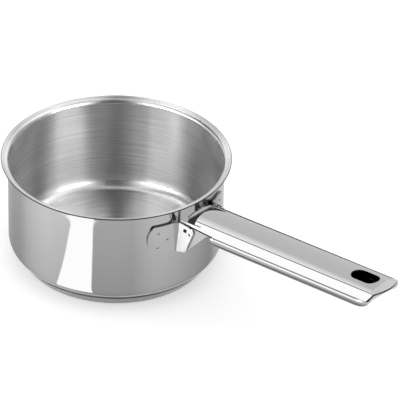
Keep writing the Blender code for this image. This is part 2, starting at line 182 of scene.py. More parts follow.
class BracketSizes(bpy.types.PropertyGroup):
    """The bent sheet between the body and the handle."""

    sheet: length("Sheet thickness", "Thickness of the bracket's sheet", 0.0012)
    height: length("Height", "Height of the wings", 0.0214)
    drop: length("Drop", "How far the wings' head lies under the rim", 0.0110)
    wing_reach: length("Wing reach", "Length of each wing at its head and foot", 0.0156)
    wing_bulge: length("Wing bulge", "How much further the wings reach at mid height", 0.0040)
    wing_foot_rise: length("Wing foot rise", "Rise of the foot towards the wings' ends", 0.0018)
    bend_foot: length("Bend at the foot", "Radius between wing and ear at the foot", 0.0015)
    bend_head: length("Bend at the head", "Radius between wing and ear at the head", 0.0060)
    ear_foot: length("Ear length at the foot", "Length of each ear at its foot", 0.0069)
    ear_head: length("Ear length at the head", "Length of each ear at its head", 0.0100)
    ear_corner: length("Ear corner", "Radius of the ears' outer corner", 0.0040)
    ear_head_rise: length("Ear rise", "How much the head rises from wing to ear", 0.0016)
    ear_foot_rise: length("Ear foot rise", "How much the foot rises along the ear", 0.0026)
    web_stand_off: length("Web stand-off", "From the wings' outer face to the web's", 0.0036)
    web_height: length("Web height", "From the web's foot to the wings' head", 0.0176)
    web_shoulder: length("Web shoulder", "Height of the web's wide part", 0.0080)
    web_head_width: length("Web head", "Width of the web's arched head", 0.0208)
    web_arch: length("Web arch", "Rise of the web's arched head", 0.0016)
    # Painted shade: the web is painted darker towards its foot, where it lies in the shade under the handle's
    # root
    painted_web_shade: share("Painted web shade", "Share of the web's tone that is left on its lower part", 0.05)
    painted_web_shade_depth: length("Painted shade depth", "Over which height the web's tone falls", 0.0022)
    weld_radius: length("Weld radius", "Radius of a spot weld's mark", 0.0011)
    weld_depth: length("Weld depth", "Depth of a spot weld's mark", 0.00035)


class SteelLook(bpy.types.PropertyGroup):
    """Colours and polish of the metals."""

    polished: colour("Polished steel", "Base colour of the mirror-polished sheet", (0.46, 0.46, 0.463))
    brushed: colour("Brushed steel", "Base colour of the circular-brushed inside", (0.66, 0.66, 0.66))
    corner: colour("Inner corner", "Base colour of the inner corner and the rim's bend", (0.68, 0.68, 0.68))
    # Painted shade: this near-black steel goes on creases, gaps, the groove, the lip's edge, the slot's wall
    # and the sheet's edges where shade falls. The weld marks get it as their own colour.
    edge: colour("Cut edge", "Base colour of sheared edges, weld marks and dark creases", (0.03, 0.03, 0.03))
    base: colour("Turned base", "Base colour of the cap under the body", (0.27, 0.27, 0.27))
    mill: colour("Mill finish", "Base colour of the unpolished inner sides", (0.80, 0.80, 0.80))
    aluminium: colour("Aluminium", "Base colour of the disc inside the base", (0.74, 0.74, 0.75))
    polished_roughness: share("Polished roughness", "Roughness of the polished sheet", 0.07)
    brushed_roughness: share("Brushed roughness", "Roughness of the brushed inside", 0.32)
    corner_roughness: share("Corner roughness", "Roughness of the inner corner and the rim's bend", 0.27)
    brushed_anisotropy: share("Brushing direction", "How much the brushing stretches reflections", 1.0)
    # Painted highlight: the ears and the top sheet's nose get a near-white steel, so that they look lit
    highlight_satin: colour("Satin steel with painted highlight", "Base colour of the ears' brushed faces", (0.95, 0.95, 0.95))
    tip: colour("Tip steel", "Base colour of the handle's bent tip and of its cheeks", (0.55, 0.55, 0.55))
    tip_roughness: share("Tip roughness", "Roughness of the handle's bent tip and of its cheeks", 0.50)
    highlight_satin_roughness: share("Satin roughness", "Roughness of the ears' brushed faces", 0.62)
    base_roughness: share("Base roughness", "Roughness of the cap under the body", 0.22)
    mill_roughness: share("Mill roughness", "Roughness of the unpolished inner sides", 0.55)
    aluminium_roughness: share("Aluminium roughness", "Roughness of the disc inside the base", 0.45)
    edge_roughness: share("Edge roughness", "Roughness of sheared edges, weld marks and dark creases", 0.30)
    line_height: length("Line height", "Height of the finest polishing lines", 0.000002)


class StudioLook(bpy.types.PropertyGroup):
    """Floor, surround and cards."""

    floor_radius: length("Floor radius", "Radius of the pale floor", 6.0)
    floor_colour: colour("Floor colour", "Colour of the pale floor", (0.80, 0.80, 0.80))
    surround: plain_number("Surround", "Brightness of the white surround", 1.0)
    floor_lift: plain_number("Floor lift", "Light added to the floor, so that it is white", 0.40)
    softbox: plain_number("Softbox", "Brightness of the softboxes as the metal shows them", 2.12)
    top_softbox: plain_number("Top softbox", "Brightness of the strong softboxes on both sides", 5.2)
    flag: plain_number("Flag", "Brightness of the dark cards as the metal shows them", 0.06)
    grey_card: plain_number("Grey card", "Brightness of the grey cards as the metal shows them", 0.4)
    card_distance: length("Card distance", "Distance of the sky's cards from the pan", 1.6)


class MilkPanSettings(bpy.types.PropertyGroup):
    """Everything that can be changed before the pieces are made."""

    pan: PointerProperty(type=PanSizes)
    base: PointerProperty(type=BaseSizes)
    handle: PointerProperty(type=HandleSizes)
    bracket: PointerProperty(type=BracketSizes)
    steel: PointerProperty(type=SteelLook)
    studio: PointerProperty(type=StudioLook)


def settings():
    return bpy.context.scene.milk_pan


# Modelling helpers


def deselect_all():
    if bpy.context.mode != "OBJECT":
        bpy.ops.object.mode_set(mode="OBJECT")
    bpy.ops.object.select_all(action="DESELECT")


def pick(piece):
    """Makes a piece the active one and the only one that is selected."""
    deselect_all()
    piece.select_set(True)
    bpy.context.view_layer.objects.active = piece


def named(name):
    """The object that was added last, with its name."""
    piece = bpy.context.active_object
    piece.name = name
    piece.data.name = name
    return piece


def extrude(step):
    """In edit mode, extrudes what is selected."""
    bpy.ops.mesh.extrude_region_move(TRANSFORM_OT_translate={"value": step})


def draw_lines(name, points):
    """Merges a small plane to one point, moves it to the first place and extrudes it through the others."""
    deselect_all()
    bpy.ops.mesh.primitive_plane_add(size=cut_overrun)
    piece = named(name)
    bpy.ops.object.mode_set(mode="EDIT")
    bpy.ops.mesh.select_mode(type="VERT")
    bpy.ops.mesh.select_all(action="SELECT")
    bpy.ops.mesh.merge(type="CENTER")
    bpy.ops.transform.translate(value=points[0])
    for before, after in zip(points, points[1:]):
        extrude(after - before)
    bpy.ops.mesh.select_all(action="SELECT")
    return piece


def select_where(piece, test, kind):
    """In edit mode, selects the points, edges or faces that pass the test."""
    bpy.ops.mesh.select_mode(type=kind)
    bpy.ops.mesh.select_all(action="DESELECT")
    work = bmesh.from_edit_mesh(piece.data)
    for part in {"VERT": work.verts, "EDGE": work.edges, "FACE": work.faces}[kind]:
        part.select_set(test(part))
    work.select_flush_mode()
    bmesh.update_edit_mesh(piece.data)


def polar(radius, turn):
    return Vector((radius * math.cos(turn), radius * math.sin(turn)))


def arc(centre, radius, start, end, steps):
    """Points on an arc in a plane, both ends included."""
    turn = (end - start) / steps
    return [Vector(centre) + polar(radius, start + turn * i) for i in range(steps + 1)]


def rounded(points, radii, steps):
    """An open outline in a plane with its inner corners rounded, where the radius isn't zero."""
    result = [Vector(points[0])]
    for before, corner, after, radius in zip(points, points[1:], points[2:], radii):
        corner = Vector(corner)
        if not radius:
            result.append(corner)
            continue
        inward = (Vector(before) - corner).normalized()
        outward = (Vector(after) - corner).normalized()
        half = inward.angle(outward) / 2
        centre = corner + (inward + outward).normalized() * (radius / math.sin(half))
        first = corner + inward * (radius / math.tan(half)) - centre
        last = corner + outward * (radius / math.tan(half)) - centre
        start = math.atan2(first.y, first.x)
        result += arc(centre, radius, start, start - first.angle_signed(last), steps)
    return result + [Vector(points[-1])]


def turned(name, profile):
    """Draws a profile of (radius, height) points that starts and ends on the axis, and spins it round."""
    piece = draw_lines(name, [Vector((radius, 0, height)) for radius, height in profile])
    steps = settings().pan.turn_steps
    bpy.ops.mesh.spin(steps=steps, angle=math.tau, center=(0, 0, 0), axis=(0, 0, 1))
    close_seams()
    return piece


def merge_points():
    """In edit mode, merges doubled points and turns all faces outwards."""
    bpy.ops.mesh.select_all(action="SELECT")
    bpy.ops.mesh.remove_doubles(threshold=merge_distance)
    bpy.ops.mesh.normals_make_consistent(inside=False)


def close_seams():
    merge_points()
    bpy.ops.object.mode_set(mode="OBJECT")


def prism(name, outline, place, low, high):
    """A closed outline, filled and extruded between two levels. place turns (a, b, level) into a point."""
    piece = draw_lines(name, [Vector(place(a, b, low)) for a, b in outline])
    bpy.ops.mesh.edge_face_add()
    extrude(Vector(place(0, 0, high)) - Vector(place(0, 0, low)))
    close_seams()
    return piece


def grid_from_rows(name, rows):
    """A grid whose points are moved to the places in the rows."""
    deselect_all()
    bpy.ops.mesh.primitive_grid_add(x_subdivisions=len(rows[0]) - 1, y_subdivisions=len(rows) - 1, size=1)
    piece = named(name)
    for point, place in zip(piece.data.vertices, [place for row in rows for place in row]):
        point.co = place
    piece.data.update()
    return piece


def thicken(piece, thickness):
    """Gives a single sheet its thickness on the side away from its normals."""
    solidify = piece.modifiers.new("Sheet", "SOLIDIFY")
    solidify.thickness = thickness
    solidify.offset = -1
    solidify.use_even_offset = True
    apply_modifiers(piece)


def apply_modifiers(piece):
    pick(piece)
    for modifier in list(piece.modifiers):
        bpy.ops.object.modifier_apply(modifier=modifier.name)


def combine(piece, other, operation):
    """Cuts, joins or trims a piece with another one, which is then removed."""
    modifier = piece.modifiers.new(operation.title(), "BOOLEAN")
    modifier.operation = operation
    modifier.solver = "EXACT"
    modifier.object = other
    apply_modifiers(piece)
    bpy.data.objects.remove(other)
    if not piece.data.polygons:
        raise RuntimeError(f"{piece.name} has nothing left after {operation.lower()}")


def settle(piece, turn):
    """Moves and turns a piece, and applies that, so that its object sits at the origin."""
    piece.matrix_world = turn
    pick(piece)
    bpy.ops.object.transform_apply(location=True, rotation=True, scale=True)


def looking_out(centre, normal):
    """How much a face looks away from the pan's axis: 1 straight out, -1 straight in."""
    return (normal.x * centre.x + normal.y * centre.y) / max(math.hypot(centre.x, centre.y), merge_distance)


def paint(piece, finish, test):
    """Gives another one of the piece's finishes to the faces whose middle and normal pass the test."""
    index = piece.data.materials.find(finish)
    for face in piece.data.polygons:
        if test(face.center, face.normal):
            face.material_index = index


def hand_over(piece, node, finishes):
    """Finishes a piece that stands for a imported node."""
    pick(piece)
    bpy.ops.object.shade_smooth_by_angle(angle=smooth_angle)
    even = piece.modifiers.new("Even shading", "WEIGHTED_NORMAL")
    even.weight = shading_weight
    even.keep_sharp = True
    apply_modifiers(piece)
    for name in finishes:
        piece.data.materials.append(bpy.data.materials[name])
    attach(piece, "root")
    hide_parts(node)


# Finishes

# Scale, detail and roughness of the noises, and how the lines drift or are stretched
turned_grain = (1150, 4, 0.7)
straight_grain = (2400, 3, 0.6)
cloud_grain = (28, 3, 0.55)
line_drift = (0.025, 0.025, 0.0)
line_stretch = (0.03, 1, 1)
# Which part of each noise the metals show, how the clouds change the roughness, and the brushing's turn
line_range = (0.25, 0.75)
cloud_range = (0.3, 0.7)
cloud_dulling = (0.85, 1.2)
brushing_turn = 0.25
# Name, look in the steel's settings, group of lines, strength of their relief and how much they vary the tone
metals = [
    ("Polished wall", "polished", "Turned lines", 0.25, 0.01),
    ("Polished sheet", "polished", "Straight lines", 0.2, 0.01),
    ("Brushed inside", "brushed", "Turned lines", 1.0, 0.27),
    ("Polished corner", "corner", "Turned lines", 0.5, 0.12),
    # Painted shade, and the weld marks' own dark colour
    ("Cut edge", "edge", "Straight lines", 0.3, 0.04),
    ("Mill finish", "mill", "Straight lines", 0.4, 0.04),
    ("Satin tip", "tip", "Straight lines", 0.4, 0.04),
    # Painted highlight on the ears and the nose
    ("Satin sheet", "highlight_satin", "Straight lines", 0.4, 0.04),
    # Painted shade towards the web's foot
    ("Tinted web", "mill", "Straight lines", 0.4, 0.04),
    # Painted shade on the trough's lower half
    ("Polished trough", "polished", "Straight lines", 0.2, 0.01),
    ("Turned base", "base", "Turned lines", 0.5, 0.06),
    ("Cast aluminium", "aluminium", "Turned lines", 0.4, 0.05),
]


def wire(tree, node, inputs):
    """Links each input to the socket that is given for it, or sets it to the value."""
    for key, value in inputs.items():
        if isinstance(value, bpy.types.NodeSocket):
            tree.links.new(value, node.inputs[key])
        else:
            node.inputs[key].default_value = value


def add_node(tree, kind, inputs=None, **options):
    """A new node with its options set and its inputs linked or set."""
    node = tree.nodes.new("ShaderNode" + kind)
    for name, value in options.items():
        setattr(node, name, value)
    wire(tree, node, inputs or {})
    return node


def object_place(tree):
    return add_node(tree, "TexCoord").outputs["Object"]


def math_of(tree, operation, first, second):
    return add_node(tree, "Math", {0: first, 1: second}, operation=operation).outputs["Value"]


def vector_math(tree, operation, first, second):
    return add_node(tree, "VectorMath", {0: first, 1: second}, operation=operation).outputs["Vector"]


def noise(tree, vector, scale, detail, roughness):
    inputs = {"Vector": vector, "Scale": scale, "Detail": detail, "Roughness": roughness}
    return add_node(tree, "TexNoise", inputs).outputs["Fac"]


def ramp(tree, value, low, high, low_out, high_out):
    inputs = {"Value": value, "From Min": low, "From Max": high, "To Min": low_out, "To Max": high_out}
    return add_node(tree, "MapRange", inputs).outputs["Result"]


def multiply(tree, first, second):
    """The product of two colours."""
    inputs = {"Factor": 1.0, "A": first, "B": second}
    return add_node(tree, "Mix", inputs, data_type="RGBA", blend_type="MULTIPLY").outputs["Result"]


def new_group(name, inputs, outputs):
    """A node group from the names and kinds of its sockets, with what it takes in and its end node."""
    group = bpy.data.node_groups.new(name, "ShaderNodeTree")
    for in_out, sockets in (("INPUT", inputs), ("OUTPUT", outputs)):
        for label, kind in sockets.items():
            group.interface.new_socket(label, in_out=in_out, socket_type="NodeSocket" + kind)
    return group, group.nodes.new("NodeGroupInput").outputs, group.nodes.new("NodeGroupOutput")


def round_the_axis(tree, place):
    """Turns a place into one whose pattern runs round the pan's axis and drifts a little on the way."""
    flat = vector_math(tree, "MULTIPLY", place, (1, 1, 0))
    radius = add_node(tree, "VectorMath", {0: flat}, operation="LENGTH").outputs["Value"]
    height = add_node(tree, "SeparateXYZ", {0: place}).outputs["Z"]
    around = add_node(tree, "CombineXYZ", {"X": radius, "Y": height}).outputs["Vector"]
    return vector_math(tree, "ADD", around, vector_math(tree, "MULTIPLY", place, line_drift))


def along_the_handle(tree, place):
    """Turns a place into one whose pattern is drawn out along the handle."""
    return vector_math(tree, "MULTIPLY", place, line_stretch)


def make_lines(name, pattern_place, grain):
    """Fine lines, as a lathe and a polishing belt leave them, and a metal's colour as they vary it."""
    inputs = {"Base colour": "Color", "Tone spread": "Float"}
    group, source, sink = new_group(name, inputs, {"Colour": "Color", "Lines": "Float"})
    lines = noise(group, pattern_place(group, object_place(group)), *grain)
    darkest = math_of(group, "SUBTRACT", 1.0, source["Tone spread"])
    lightest = math_of(group, "ADD", 1.0, source["Tone spread"])
    tone = ramp(group, lines, *line_range, darkest, lightest)
    wire(group, sink, {"Colour": multiply(group, source["Base colour"], tone), "Lines": lines})


def make_handling_marks():
    """Faint clouds that wiping leaves on bright steel, as they vary its roughness."""
    group, source, sink = new_group("Handling marks", {"Roughness": "Float"}, {"Roughness": "Float"})
    clouds = noise(group, object_place(group), *cloud_grain)
    ends = [math_of(group, "MULTIPLY", source["Roughness"], factor) for factor in cloud_dulling]
    wire(group, sink, {"Roughness": ramp(group, clouds, *cloud_range, *ends)})


def make_painted_shade_downwards():
    """Painted shade: darkens a colour from the high level along up to the low one, where a share of its tone
    is left.
    """
    inputs = {"Colour": "Color", "Up": "Vector", "Low": "Float", "High": "Float", "Share left": "Float"}
    group, source, sink = new_group("Downward tint", inputs, {"Colour": "Color"})
    level = add_node(group, "VectorMath", {0: object_place(group), 1: source["Up"]}, operation="DOT_PRODUCT")
    tone = ramp(group, level.outputs["Value"], source["Low"], source["High"], source["Share left"], 1.0)
    wire(group, sink, {"Colour": multiply(group, source["Colour"], tone)})


def placed(tree, name, inputs):
    """Places a node group in a metal with the metal's own values, and returns what it puts out."""
    return add_node(tree, "Group", inputs, node_tree=bpy.data.node_groups[name]).outputs


def metal(name, look, lines_group, line_strength, tone_spread):
    """A bare metal whose tone and roughness vary with its polishing lines and handling marks."""
    steel = settings().steel
    material = bpy.data.materials.new(name)
    material.use_nodes = True
    tree = material.node_tree
    base_colour = (*getattr(steel, look), 1)
    lines = placed(tree, lines_group, {"Base colour": base_colour, "Tone spread": tone_spread})
    marks = placed(tree, "Handling marks", {"Roughness": getattr(steel, look + "_roughness")})
    relief = {"Strength": line_strength, "Distance": steel.line_height, "Height": lines["Lines"]}
    inputs = {
        "Metallic": 1.0,
        "Base Color": lines["Colour"],
        "Roughness": marks["Roughness"],
        "Normal": add_node(tree, "Bump", relief).outputs["Normal"],
    }
    wire(tree, tree.nodes["Principled BSDF"], inputs)


def stretch_reflections(name, amount):
    """Stretches what a turned metal mirrors across its lines."""
    tree = bpy.data.materials[name].node_tree
    tangent = add_node(tree, "Tangent", direction_type="RADIAL", axis="Z").outputs["Tangent"]
    inputs = {"Anisotropic": amount, "Anisotropic Rotation": brushing_turn, "Tangent": tangent}
    wire(tree, tree.nodes["Principled BSDF"], inputs)


def paint_shade_downwards(name, up, low, high, share_left):
    """Paints shade into a metal: darkens it from the high level along up to the low one."""
    tree = bpy.data.materials[name].node_tree
    shader = tree.nodes["Principled BSDF"]
    full = shader.inputs["Base Color"].links[0].from_socket
    inputs = {"Colour": full, "Up": up, "Low": low, "High": high, "Share left": share_left}
    wire(tree, shader, {"Base Color": placed(tree, "Downward tint", inputs)["Colour"]})


class MILKPAN_OT_finishes(bpy.types.Operator):
    """Makes the node groups and the metals"""

    bl_idname = "milkpan.finishes"
    bl_label = "Finishes"

    def execute(self, context):
        make_lines("Turned lines", round_the_axis, turned_grain)
        make_lines("Straight lines", along_the_handle, straight_grain)
        make_handling_marks()
        make_painted_shade_downwards()
        for finish in metals:
            metal(*finish)
        stretch_reflections("Brushed inside", settings().steel.brushed_anisotropy)
        bracket = settings().bracket
        handle = settings().handle
        high = top_over_web()
        # Painted shade on the web's outer face, darker towards its foot under the handle's root
        paint_shade_downwards("Tinted web", (0, 0, 1), high - bracket.painted_web_shade_depth, high, bracket.painted_web_shade)
        # Painted shade on the trough's lower half, in place of the shaded floor under the handle that it
        # mirrors
        seam = handle.level * math.cos(handle.slope) + seam_level()
        up = (-math.sin(handle.slope), 0, math.cos(handle.slope))
        low = seam - handle.trough_side_radius
        paint_shade_downwards("Polished trough", up, low, seam - handle.trough_sheet / 2, handle.trough_painted_shade)
        return {"FINISHED"}


# Body and base

# Between which upward looks the inner corner and the rim's inner bend have their own finish
corner_looks = (0.45, 0.98)
bend_looks = (0.15, 0.93)


def underside_level():
    """Height of the body's underside above the table."""
    base = settings().base
    return base.cap_wall + base.core_thickness + seat_gap + seat_gap


def corner_centre():
    """Radius and height of the middle of the body's rounded corner."""
    pan = settings().pan
    return Vector((pan.outer_radius - pan.corner_radius, underside_level() + pan.corner_radius))


class MILKPAN_OT_body(bpy.types.Operator):
    """Spins the body with its rounded corner and its pouring lip"""

    bl_idname = "milkpan.body"
    bl_label = "Body"

    def execute(self, context):
        pan = settings().pan
        base = settings().base
        wall = pan.wall
        underside = underside_level()
        edge_radius = wall / 2
        lip_drop = pan.rim_lip_length * math.cos(pan.rim_turn) + pan.rim_bend_radius * math.sin(pan.rim_turn)
        bend_level = pan.height - lip_drop - edge_radius - edge_radius * math.sin(pan.rim_turn)
        bend = (pan.outer_radius + pan.rim_bend_radius, bend_level)
        lip_run = Vector((math.sin(pan.rim_turn), math.cos(pan.rim_turn))) * pan.rim_lip_length
        lip_angle = math.pi - pan.rim_turn
        inner_bend = arc(bend, pan.rim_bend_radius + wall, math.pi, lip_angle, bend_steps)
        outer_bend = arc(bend, pan.rim_bend_radius, lip_angle, math.pi, bend_steps)
        edge_centre = (inner_bend[-1] + outer_bend[0]) / 2 + lip_run
        edge = arc(edge_centre, edge_radius, lip_angle, lip_angle - math.pi, edge_steps)
        inside = arc(corner_centre(), pan.corner_radius - wall, -math.pi / 2, 0, corner_steps)
        outside = arc(corner_centre(), pan.corner_radius, 0, -math.pi / 2, corner_steps)
        hold = Vector((0, cut_overrun))
        inset = Vector((cut_overrun, 0))
        profile = [(0, underside + wall), inside[0] - inset] + inside + [inside[-1] + hold]
        profile += [inner_bend[0] - hold] + inner_bend + edge + outer_bend + [outer_bend[-1] - hold]
        profile += [outside[0] + hold] + outside + [outside[-1] - inset, (0, underside)]
        body = turned("body", profile)
        finishes = ("Polished wall", "Brushed inside", "Cut edge", "Polished corner")
        hand_over(body, "pan_body", finishes)
        lip = pan.outer_radius + pan.rim_bend_radius
        groove = underside + pan.corner_radius - (pan.corner_radius + seat_gap) * math.cos(base.cap_grip)

        def on_inside(centre, normal):
            return looking_out(centre, normal) < -slightly or normal.z > halfway

        def on_corner(centre, normal):
            if centre.z > bend_level:
                looks = bend_looks
            elif centre.z < underside + pan.corner_radius:
                looks = corner_looks
            else:
                return False
            return looking_out(centre, normal) < 0 and looks[0] < normal.z < looks[1]

        def under_lip(centre, normal):
            past_bend = math.hypot(centre.x, centre.y) > lip and centre.z > bend_level
            return past_bend and looking_out(centre, normal) > 2 * slightly

        def in_groove(centre, normal):
            near = groove - base.cap_wall < centre.z < groove + base.groove_shade
            outside_floor = math.hypot(centre.x, centre.y) > pan.outer_radius - pan.corner_radius
            return near and outside_floor and normal.z < 0

        paint(body, "Brushed inside", on_inside)
        paint(body, "Polished corner", on_corner)
        # Painted shade: a dark line on the lip's outer edge, and a dark ring in the groove above the cap
        paint(body, "Cut edge", under_lip)
        paint(body, "Cut edge", in_groove)
        return {"FINISHED"}


class MILKPAN_OT_base(bpy.types.Operator):
    """Spins the pressed cap under the body and finishes the disc inside it"""

    bl_idname = "milkpan.base"
    bl_label = "Base"

    def execute(self, context):
        base = settings().base
        reach = settings().pan.corner_radius + seat_gap
        centre = corner_centre()
        rim = centre + polar(reach, base.cap_grip - math.pi / 2)
        side = Vector((base.cap_flare, rim.y)).normalized()
        facing = Vector((side.y, -side.x))
        inner_offset = (rim - centre).dot(facing) - base.cap_wall
        inner_rim = centre + facing * inner_offset - side * math.sqrt(reach**2 - inner_offset**2)
        foot = rim.x - base.cap_flare
        slant = math.hypot(base.cap_flare, rim.y)
        inner_foot = foot + (base.cap_wall * base.cap_flare - base.cap_wall * slant) / rim.y
        inside = [(0, base.cap_wall), (inner_foot, base.cap_wall), inner_rim]
        profile = rounded(inside, [base.cap_edge_radius - base.cap_wall], bend_steps)
        profile += rounded([rim, (foot, 0), (0, 0)], [base.cap_edge_radius], bend_steps)
        cap = turned("base", profile)
        hand_over(cap, "base_cap", ("Turned base", "Cut edge"))
        rim_foot = rim.y - base.cap_wall
        # Painted shade: a dark ring on the top of the cap's rim, where it meets the body
        paint(cap, "Cut edge", lambda centre, normal: normal.z > partly and centre.z > rim_foot)
        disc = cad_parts["base_core_disc"]
        disc.data.materials.clear()
        disc.data.materials.append(bpy.data.materials["Cast aluminium"])
        return {"FINISHED"}


# Handle

# How far up a face of the crease looks at the most, and how far forwards the tip's edge looks at the least
crease_look = 0.58
tip_edge_look = 0.6
# How far down the sloping sides the taper begins to move points, as a share of their height
taper_share = 0.7


def handle_matrix():
    """Places the handle's own frame on the pan."""
    handle = settings().handle
    return Matrix.Translation((0, 0, handle.level)) @ Matrix.Rotation(-handle.slope, 4, "Y")


def along_of(x, up=0.0):
    """How far along the handle's own frame a point lies whose distance from the pan's axis is known."""
    handle = settings().handle
    return (x + up * math.sin(handle.slope)) / math.cos(handle.slope)


def bevel_half():
    handle = settings().handle
    return handle.top_width / 2 + handle.bevel_out


def seam_level():
    handle = settings().handle
    return -handle.bevel_down - handle.lip_down


def web_face():
    """Distance of the web's outer face from the pan's axis."""
    bracket = settings().bracket
    return settings().pan.outer_radius + seat_gap + bracket.sheet + bracket.web_stand_off


def top_over_web():
    handle = settings().handle
    return handle.level + web_face() * math.tan(handle.slope)


def bracket_foot():
    bracket = settings().bracket
    return settings().pan.height - bracket.drop - bracket.height


def crown_at(across):
    handle = settings().handle
    return handle.crown * (1 - (2 * across / handle.top_width) ** 2)


def handle_point(along, across, up):
    """A point of the handle's own frame: straight, then drooping along an arc near the tip."""
    handle = settings().handle
    droop_start = along_of(handle.tip_x) - handle.droop_length
    droop = max(0.0, along - droop_start) / handle.droop_radius
    straight = min(along, droop_start)
    forward = straight + math.sin(droop) * (handle.droop_radius + up)
    height = up * math.cos(droop) - handle.droop_radius * (1 - math.cos(droop))
    return Vector((forward, across, height))


def handle_prism(name, outline, low):
    """A prism square to the handle's top face, from a level under that face to one well above it."""
    trim = prism(name, outline, lambda a, b, c: (a, b, c), low, settings().handle.top_width)
    settle(trim, handle_matrix())
    return trim


def plan_trim():
    """What the top sheet keeps as seen from above: a rounded tip, and a root with its two slits."""
    handle = settings().handle
    reach = bevel_half() + cut_overrun
    top_half = handle.top_width / 2
    root = along_of(handle.root_x)
    half_slit = handle.relief_width / 2
    slit_across = top_half + handle.root_shoulder + half_slit
    slit_end = (root + handle.relief_length - half_slit, slit_across)
    tip_centre = (along_of(handle.tip_x) - handle.tip_radius, 0)
    near = arc(tip_centre, handle.tip_radius, 0, math.asin(reach / handle.tip_radius), round_steps)
    near += [(0, reach), (0, slit_across + half_slit)]
    near += arc(slit_end, half_slit, math.pi / 2, -math.pi / 2, edge_steps)
    near.append((root, slit_across - half_slit))
    for i in range(corner_steps, -1, -1):
        across = top_half * i / corner_steps
        near.append((root - handle.root_arch * (1 - (across / top_half) ** 2), across))
    far = [(along, -across) for along, across in near[::-1]][1:-1]
    return handle_prism("Handle in plan", near + far, -2 * handle.top_width)


def side_trim():
    """What the top sheet keeps as seen from the side: the cheeks' sloping lower edge."""
    handle = settings().handle
    slope = math.tan(handle.slope)
    seam_height = handle.level + seam_level() / math.cos(handle.slope)
    front_x = web_face() + seat_gap + seat_gap
    nose_x = front_x - handle.cheek_nose_reach
    foot = bracket_foot() + handle.cheek_foot_rise
    heel_x = front_x + handle.cheek_foot_length
    blend_x = heel_x + handle.cheek_run
    far_x = handle.tip_x + handle.top_width
    lower = [(front_x, foot), (heel_x, foot), (blend_x, seam_height + blend_x * slope)]
    lower.append((far_x, seam_height + far_x * slope))
    roof = handle.level + far_x * slope + handle.top_width
    nose_foot = handle.level - handle.bevel_down - handle.cheek_nose_depth + nose_x * slope
    outline = rounded(lower, [0, handle.cheek_blend], corner_steps)
    outline += [(far_x, roof), (nose_x, roof), (nose_x, nose_foot), (front_x, nose_foot)]
    reach = bevel_half() + cut_overrun
    return prism("Handle from the side", outline, lambda a, b, c: (a, c, b), -reach, reach)


def slot_cutter():
    """A long round-ended hole, square to the handle's top face."""
    handle = settings().handle
    middle = along_of(handle.tip_x) - handle.slot_to_tip
    radius = handle.slot_width / 2
    straight = handle.slot_length / 2 - radius
    outline = arc((middle + straight, 0), radius, -math.pi / 2, math.pi / 2, round_steps)
    outline += arc((middle - straight, 0), radius, math.pi / 2, math.pi * 1.5, round_steps)
    return handle_prism("Slot", outline, -handle.top_width)


def on_slot_wall(centre, normal):
    """Whether a face belongs to the slot's cut edge."""
    handle = settings().handle
    middle = handle.tip_x - handle.slot_to_tip * math.cos(handle.slope)
    near_along = abs(centre.x - middle) < handle.slot_length / 2 + seat_gap
    near_across = abs(centre.y) < handle.slot_width / 2 + seat_gap
    upward = normal.z * math.cos(handle.slope) - normal.x * math.sin(handle.slope)
    return near_along and near_across and abs(upward) < slightly


def taper_root_bevel(sheet, nose_end, front, cheek_end, foot):
    """In edit mode, raises the foot of the sloping sides towards the root, where the cheeks hang from it."""
    handle = settings().handle
    rise = handle.crease_inset * handle.bevel_down / handle.bevel_out
    for row, amount in ((front, 1.0), (nose_end, (cheek_end - nose_end) / (cheek_end - front))):
        for side in (-1, 1):

            def at_crease(point):
                level = foot - merge_distance < point.co.z < -handle.bevel_down * taper_share
                return level and abs(point.co.x - row) < merge_distance and point.co.y * side > 0

            select_where(sheet, at_crease, "VERT")
            bpy.ops.transform.translate(value=(0, -side * handle.crease_inset * amount, rise * amount))


def finish_top_sheet(sheet):
    """Gives the top sheet's faces their finishes, by where they lie and which way they look, with a painted
    highlight on the nose and painted shade on the crease, the tip's end, the slot's wall and the root's edge.
    """
    handle = settings().handle
    top_half = handle.top_width / 2
    root = handle.root_x + handle.sheet

    def on_nose(centre, normal):
        return abs(normal.y) > mostly and halfway < normal.z < mostly and centre.x < root + handle.sheet

    def on_tip(centre, normal):
        near = centre.x > handle.tip_x - handle.droop_length and abs(centre.y) < top_half
        return near and normal.z > mostly

    def on_cheek(centre, normal):
        return normal.y * centre.y > 0 and abs(normal.z) < barely and centre.x < handle.trough_start

    def on_crease(centre, normal):
        near = abs(centre.y) > top_half and centre.x < handle.trough_start
        return near and barely < normal.z < crease_look

    def on_tip_edge(centre, normal):
        return normal.x > tip_edge_look and centre.x > handle.tip_x - handle.tip_radius / 2

    def on_root_edge(centre, normal):
        return normal.x < -mostly and centre.x < root and centre.z > handle.level

    def on_inner_side(centre, normal):
        level = handle.level + centre.x * math.tan(handle.slope)
        inside = abs(centre.y) < bevel_half() - handle.sheet / 2 and centre.z < level - handle.sheet / 2
        return inside and normal.z < partly and normal.y * centre.y < abs(centre.y) / 3

    # Painted highlight on the nose
    paint(sheet, "Satin sheet", on_nose)
    paint(sheet, "Satin tip", on_tip)
    paint(sheet, "Satin tip", on_cheek)
    # Painted shade: the crease, the tip's end, the slot's wall and the root's edge are painted near black
    for test in (on_crease, on_tip_edge, on_slot_wall, on_root_edge):
        paint(sheet, "Cut edge", test)
    paint(sheet, "Mill finish", on_inner_side)


